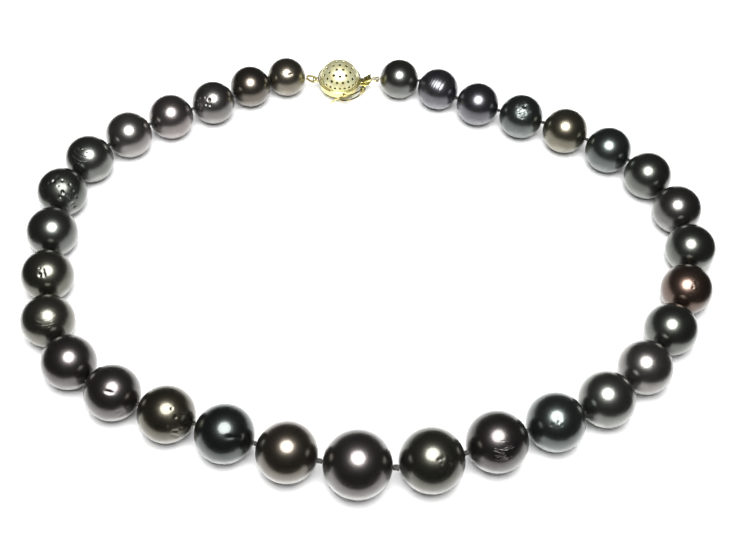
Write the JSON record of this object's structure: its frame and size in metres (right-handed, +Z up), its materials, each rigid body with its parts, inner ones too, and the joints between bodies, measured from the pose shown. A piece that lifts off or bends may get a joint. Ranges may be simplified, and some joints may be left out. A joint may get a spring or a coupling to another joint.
{
  "type": "pearl necklace",
  "caption": "Graduated dark pearl necklace, knotted on silk, closed by a round pierced gold box clasp with sprung tongue and safety latch.",
  "frame": {"origin": "middle of the lying strand's outline, on the table plane", "axes": "+Z up from the table, +Y towards the clasp, +X to the right seen from the front"},
  "size_m": [0.166, 0.1288, 0.0144],
  "materials": {
    "pearl_01": "polished",
    "pearl_02": "polished",
    "pearl_03": "polished",
    "pearl_04": "polished",
    "pearl_05": "polished",
    "pearl_06": "polished",
    "pearl_07": "polished",
    "pearl_08": "polished",
    "pearl_09": "polished",
    "pearl_10": "polished",
    "pearl_11": "polished",
    "pearl_12": "polished",
    "pearl_13": "polished",
    "pearl_14": "polished",
    "pearl_15": "polished",
    "pearl_16": "polished",
    "pearl_17": "polished",
    "pearl_18": "polished",
    "pearl_19": "polished",
    "pearl_20": "polished",
    "pearl_21": "polished",
    "pearl_22": "polished",
    "pearl_23": "polished",
    "pearl_24": "polished",
    "pearl_25": "polished",
    "pearl_26": "polished",
    "pearl_27": "polished",
    "pearl_28": "polished",
    "pearl_29": "polished",
    "pearl_30": "polished",
    "pearl_31": "polished",
    "pearl_32": "polished",
    "silk": "twisted silk",
    "gimp": "coiled wire",
    "gold": "polished"
  },
  "bodies": {
    "strand_01": {"pearl_01": "pearl_01", "gimp_left": "gimp"},
    "strand_02": {"pearl_02": "pearl_02", "silk_02": "silk"},
    "strand_03": {"pearl_03": "pearl_03"},
    "strand_04": {"pearl_04": "pearl_04", "silk_04": "silk"},
    "strand_05": {"pearl_05": "pearl_05"},
    "strand_06": {"pearl_06": "pearl_06", "silk_06": "silk"},
    "strand_07": {"pearl_07": "pearl_07"},
    "strand_08": {"pearl_08": "pearl_08", "silk_08": "silk"},
    "strand_09": {"pearl_09": "pearl_09"},
    "strand_10": {"pearl_10": "pearl_10", "silk_10": "silk"},
    "strand_11": {"pearl_11": "pearl_11"},
    "strand_12": {"pearl_12": "pearl_12", "silk_12": "silk"},
    "strand_13": {"pearl_13": "pearl_13"},
    "strand_14": {"pearl_14": "pearl_14", "silk_14": "silk"},
    "strand_15": {"pearl_15": "pearl_15"},
    "strand_16": {"pearl_16": "pearl_16", "silk_16": "silk"},
    "strand_17": {"pearl_17": "pearl_17"},
    "strand_18": {"pearl_18": "pearl_18", "silk_18": "silk"},
    "strand_19": {"pearl_19": "pearl_19"},
    "strand_20": {"pearl_20": "pearl_20", "silk_20": "silk"},
    "strand_21": {"pearl_21": "pearl_21"},
    "strand_22": {"pearl_22": "pearl_22", "silk_22": "silk"},
    "strand_23": {"pearl_23": "pearl_23"},
    "strand_24": {"pearl_24": "pearl_24", "silk_24": "silk"},
    "strand_25": {"pearl_25": "pearl_25"},
    "strand_26": {"pearl_26": "pearl_26", "silk_26": "silk"},
    "strand_27": {"pearl_27": "pearl_27"},
    "strand_28": {"pearl_28": "pearl_28", "silk_28": "silk"},
    "strand_29": {"pearl_29": "pearl_29"},
    "strand_30": {"pearl_30": "pearl_30", "silk_30": "silk"},
    "strand_31": {"pearl_31": "pearl_31"},
    "strand_32": {"pearl_32": "pearl_32", "silk_32": "silk", "gimp_right": "gimp"},
    "clasp_box": {"clasp_base": "gold", "clasp_dome": "gold", "clasp_rim": "gold", "box_eyelet": "gold", "latch_stud": "gold"},
    "tongue": {"tongue_plate": "gold", "tongue_end_ring": "gold"},
    "tongue_leaf": {"tongue_spring": "gold", "tongue_thumb_tab": "gold"},
    "latch": {"safety_latch": "gold"}
  },
  "joints": [
    {"name": "knot_15_16", "type": "hinge", "parent": "strand_16", "child": "strand_15", "pos_m": [-0.00714, -0.05719, 0.00732], "axis": [0, 0, 1], "range_deg": [0, 9.1]},
    {"name": "knot_14_15", "type": "hinge", "parent": "strand_15", "child": "strand_14", "pos_m": [-0.02105, -0.05423, 0.00657], "axis": [0, 0, 1], "range_deg": [0, 9.4]},
    {"name": "knot_13_14", "type": "hinge", "parent": "strand_14", "child": "strand_13", "pos_m": [-0.03422, -0.0509, 0.00638], "axis": [0, 0, 1], "range_deg": [0, 10.7]},
    {"name": "knot_12_13", "type": "hinge", "parent": "strand_13", "child": "strand_12", "pos_m": [-0.04695, -0.04751, 0.00624], "axis": [0, 0, 1], "range_deg": [0, 11.6]},
    {"name": "knot_11_12", "type": "hinge", "parent": "strand_12", "child": "strand_11", "pos_m": [-0.05909, -0.04292, 0.00614], "axis": [0, 0, 1], "range_deg": [0, 13.1]},
    {"name": "knot_10_11", "type": "hinge", "parent": "strand_11", "child": "strand_10", "pos_m": [-0.06886, -0.03458, 0.00607], "axis": [0, 0, 1], "range_deg": [0, 14.9]},
    {"name": "knot_09_10", "type": "hinge", "parent": "strand_10", "child": "strand_09", "pos_m": [-0.07346, -0.0227, 0.00602], "axis": [0, 0, 1], "range_deg": [0, 15.3]},
    {"name": "knot_08_09", "type": "hinge", "parent": "strand_09", "child": "strand_08", "pos_m": [-0.07524, -0.01015, 0.00599], "axis": [0, 0, 1], "range_deg": [0, 15.1]},
    {"name": "knot_07_08", "type": "hinge", "parent": "strand_08", "child": "strand_07", "pos_m": [-0.07761, 0.00224, 0.00596], "axis": [0, 0, 1], "range_deg": [0, 15.3]},
    {"name": "knot_06_07", "type": "hinge", "parent": "strand_07", "child": "strand_06", "pos_m": [-0.07659, 0.01473, 0.00592], "axis": [0, 0, 1], "range_deg": [0, 13.8]},
    {"name": "knot_05_06", "type": "hinge", "parent": "strand_06", "child": "strand_05", "pos_m": [-0.06955, 0.02499, 0.00587], "axis": [0, 0, 1], "range_deg": [0, 12.1]},
    {"name": "knot_04_05", "type": "hinge", "parent": "strand_05", "child": "strand_04", "pos_m": [-0.06071, 0.03352, 0.00579], "axis": [0, 0, 1], "range_deg": [0, 10.9]},
    {"name": "knot_03_04", "type": "hinge", "parent": "strand_04", "child": "strand_03", "pos_m": [-0.0508, 0.04041, 0.00569], "axis": [0, 0, 1], "range_deg": [0, 9.8]},
    {"name": "knot_02_03", "type": "hinge", "parent": "strand_03", "child": "strand_02", "pos_m": [-0.04082, 0.04665, 0.00554], "axis": [0, 0, 1], "range_deg": [0, 8.6]},
    {"name": "knot_01_02", "type": "hinge", "parent": "strand_02", "child": "strand_01", "pos_m": [-0.03324, 0.05513, 0.00533], "axis": [0, 0, 1], "range_deg": [0, 10.2]},
    {"name": "box_on_gimp", "type": "hinge", "parent": "strand_01", "child": "clasp_box", "pos_m": [-0.02007, 0.05758, 0.00481], "axis": [0, 0, 1], "range_deg": [0, 10]},
    {"name": "strand_open", "type": "hinge", "parent": "strand_16", "child": "strand_17", "pos_m": [0.00883, -0.05707, 0.00732], "axis": [0, 0, -1], "range_deg": [0, 7.9]},
    {"name": "knot_17_18", "type": "hinge", "parent": "strand_17", "child": "strand_18", "pos_m": [0.02332, -0.05207, 0.007], "axis": [0, 0, -1], "range_deg": [0, 8.2]},
    {"name": "knot_18_19", "type": "hinge", "parent": "strand_18", "child": "strand_19", "pos_m": [0.0362, -0.04541, 0.00671], "axis": [0, 0, -1], "range_deg": [0, 8.3]},
    {"name": "knot_19_20", "type": "hinge", "parent": "strand_19", "child": "strand_20", "pos_m": [0.04875, -0.03966, 0.00649], "axis": [0, 0, -1], "range_deg": [0, 9.2]},
    {"name": "knot_20_21", "type": "hinge", "parent": "strand_20", "child": "strand_21", "pos_m": [0.0593, -0.03151, 0.00632], "axis": [0, 0, -1], "range_deg": [0, 10.1]},
    {"name": "knot_21_22", "type": "hinge", "parent": "strand_21", "child": "strand_22", "pos_m": [0.06722, -0.02108, 0.00619], "axis": [0, 0, -1], "range_deg": [0, 11]},
    {"name": "knot_22_23", "type": "hinge", "parent": "strand_22", "child": "strand_23", "pos_m": [0.07288, -0.00947, 0.00611], "axis": [0, 0, -1], "range_deg": [0, 12.5]},
    {"name": "knot_23_24", "type": "hinge", "parent": "strand_23", "child": "strand_24", "pos_m": [0.07677, 0.00272, 0.00605], "axis": [0, 0, -1], "range_deg": [0, 13.9]},
    {"name": "knot_24_25", "type": "hinge", "parent": "strand_24", "child": "strand_25", "pos_m": [0.07726, 0.01542, 0.00601], "axis": [0, 0, -1], "range_deg": [0, 14.5]},
    {"name": "knot_25_26", "type": "hinge", "parent": "strand_25", "child": "strand_26", "pos_m": [0.07252, 0.02715, 0.00598], "axis": [0, 0, -1], "range_deg": [0, 13.7]},
    {"name": "knot_26_27", "type": "hinge", "parent": "strand_26", "child": "strand_27", "pos_m": [0.06405, 0.03646, 0.00594], "axis": [0, 0, -1], "range_deg": [0, 11.5]},
    {"name": "knot_27_28", "type": "hinge", "parent": "strand_27", "child": "strand_28", "pos_m": [0.05315, 0.04259, 0.0059], "axis": [0, 0, -1], "range_deg": [0, 9.5]},
    {"name": "knot_28_29", "type": "hinge", "parent": "strand_28", "child": "strand_29", "pos_m": [0.04172, 0.04736, 0.00584], "axis": [0, 0, -1], "range_deg": [0, 7.5]},
    {"name": "knot_29_30", "type": "hinge", "parent": "strand_29", "child": "strand_30", "pos_m": [0.02988, 0.05032, 0.00575], "axis": [0, 0, -1], "range_deg": [0, 5.6]},
    {"name": "knot_30_31", "type": "hinge", "parent": "strand_30", "child": "strand_31", "pos_m": [0.0184, 0.05368, 0.00563], "axis": [0, 0, -1], "range_deg": [0, 5]},
    {"name": "knot_31_32", "type": "hinge", "parent": "strand_31", "child": "strand_32", "pos_m": [0.00815, 0.05916, 0.00546], "axis": [0, 0, -1], "range_deg": [0, 6.4]},
    {"name": "tongue_on_gimp", "type": "hinge", "parent": "strand_32", "child": "tongue", "pos_m": [-0.00402, 0.05928, 0.00501], "axis": [0, 0, -1], "range_deg": [0, 6.8]},
    {"name": "latch_swing", "type": "hinge", "parent": "tongue", "child": "latch", "pos_m": [-0.00702, 0.05559, 0.0037], "axis": [0, 0, 1], "range_deg": [-3, 95]},
    {"name": "tongue_press", "type": "hinge", "parent": "tongue", "child": "tongue_leaf", "pos_m": [-0.01568, 0.05804, 0.0035], "axis": [-0.1055, 0.9944, 0], "range_deg": [0, 3], "stiffness_Nm_per_rad": 0.002}
  ],
  "couplings": [
    {"joint": "knot_15_16", "follows": "strand_open", "ratio": 1.137},
    {"joint": "knot_14_15", "follows": "strand_open", "ratio": 1.175},
    {"joint": "knot_13_14", "follows": "strand_open", "ratio": 1.331},
    {"joint": "knot_12_13", "follows": "strand_open", "ratio": 1.449},
    {"joint": "knot_11_12", "follows": "strand_open", "ratio": 1.633},
    {"joint": "knot_10_11", "follows": "strand_open", "ratio": 1.865},
    {"joint": "knot_09_10", "follows": "strand_open", "ratio": 1.92},
    {"joint": "knot_08_09", "follows": "strand_open", "ratio": 1.896},
    {"joint": "knot_07_08", "follows": "strand_open", "ratio": 1.921},
    {"joint": "knot_06_07", "follows": "strand_open", "ratio": 1.723},
    {"joint": "knot_05_06", "follows": "strand_open", "ratio": 1.513},
    {"joint": "knot_04_05", "follows": "strand_open", "ratio": 1.356},
    {"joint": "knot_03_04", "follows": "strand_open", "ratio": 1.219},
    {"joint": "knot_02_03", "follows": "strand_open", "ratio": 1.068},
    {"joint": "knot_01_02", "follows": "strand_open", "ratio": 1.272},
    {"joint": "box_on_gimp", "follows": "strand_open", "ratio": 1.248},
    {"joint": "knot_17_18", "follows": "strand_open", "ratio": 1.023},
    {"joint": "knot_18_19", "follows": "strand_open", "ratio": 1.035},
    {"joint": "knot_19_20", "follows": "strand_open", "ratio": 1.145},
    {"joint": "knot_20_21", "follows": "strand_open", "ratio": 1.255},
    {"joint": "knot_21_22", "follows": "strand_open", "ratio": 1.377},
    {"joint": "knot_22_23", "follows": "strand_open", "ratio": 1.564},
    {"joint": "knot_23_24", "follows": "strand_open", "ratio": 1.744},
    {"joint": "knot_24_25", "follows": "strand_open", "ratio": 1.811},
    {"joint": "knot_25_26", "follows": "strand_open", "ratio": 1.71},
    {"joint": "knot_26_27", "follows": "strand_open", "ratio": 1.44},
    {"joint": "knot_27_28", "follows": "strand_open", "ratio": 1.181},
    {"joint": "knot_28_29", "follows": "strand_open", "ratio": 0.928},
    {"joint": "knot_29_30", "follows": "strand_open", "ratio": 0.696},
    {"joint": "knot_30_31", "follows": "strand_open", "ratio": 0.609},
    {"joint": "knot_31_32", "follows": "strand_open", "ratio": 0.792},
    {"joint": "tongue_on_gimp", "follows": "strand_open", "ratio": 0.837}
  ]
}
